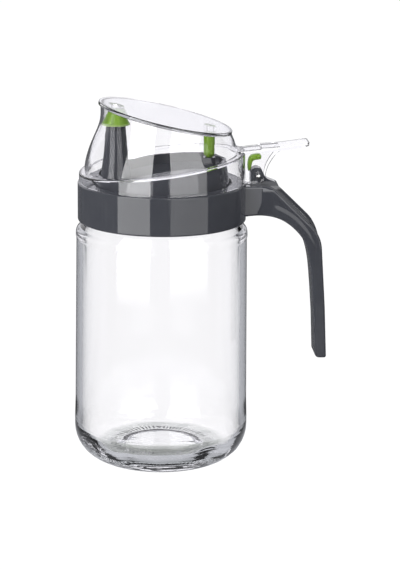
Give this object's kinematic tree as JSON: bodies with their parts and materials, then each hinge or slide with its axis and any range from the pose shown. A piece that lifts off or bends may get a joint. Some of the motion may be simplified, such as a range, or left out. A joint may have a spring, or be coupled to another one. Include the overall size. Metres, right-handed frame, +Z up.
{
  "type": "oil cruet",
  "caption": "Straight glass oil jar with a screw collar and side handle, a pouring spout under a hinged clear lid with a thumb lever, and soft stoppers for spout and vent.",
  "frame": {"origin": "centre of the jar's base, on the plane of its foot ring", "axes": "+Z up along the jar's axis, +X from the axis towards the handle, +Y across"},
  "size_m": [0.1268, 0.0874, 0.1828],
  "materials": {
    "clear_glass": "clear, fire polished",
    "white_silicone": "matte",
    "dark_plastic": "gloss",
    "clear_plastic": "clear, gloss",
    "green_silicone": "satin",
    "steel": "satin"
  },
  "bodies": {
    "jar": {"glass_jar": "clear_glass"},
    "seal": {"jar_gasket": "white_silicone"},
    "cap": {"collar": "dark_plastic", "drip_cup": "dark_plastic", "pouring_spout": "dark_plastic"},
    "cover": {"lid": "clear_plastic", "spout_stopper": "green_silicone", "vent_plug": "green_silicone", "return_spring": "green_silicone", "hinge_pin": "steel"}
  },
  "joints": [
    {"name": "cap_lift", "type": "slide", "parent": "jar", "child": "seal", "axis": [0, 0, 1], "range_m": [0, 0.0091]},
    {"name": "cap_turn", "type": "hinge", "parent": "seal", "child": "cap", "pos_m": [0, 0, 0.1328], "axis": [0, 0, 1], "range_deg": [0, 540]},
    {"name": "lid_hinge", "type": "hinge", "parent": "cap", "child": "cover", "pos_m": [0.0473, 0, 0.1457], "axis": [0, 1, 0], "range_deg": [0, 65], "stiffness_Nm_per_rad": 0.03, "springref_deg": -11.46, "deforming": ["return_spring"]}
  ],
  "couplings": [
    {"joint": "cap_lift", "follows": "cap_turn", "m_per_rad": 0.00095493}
  ]
}
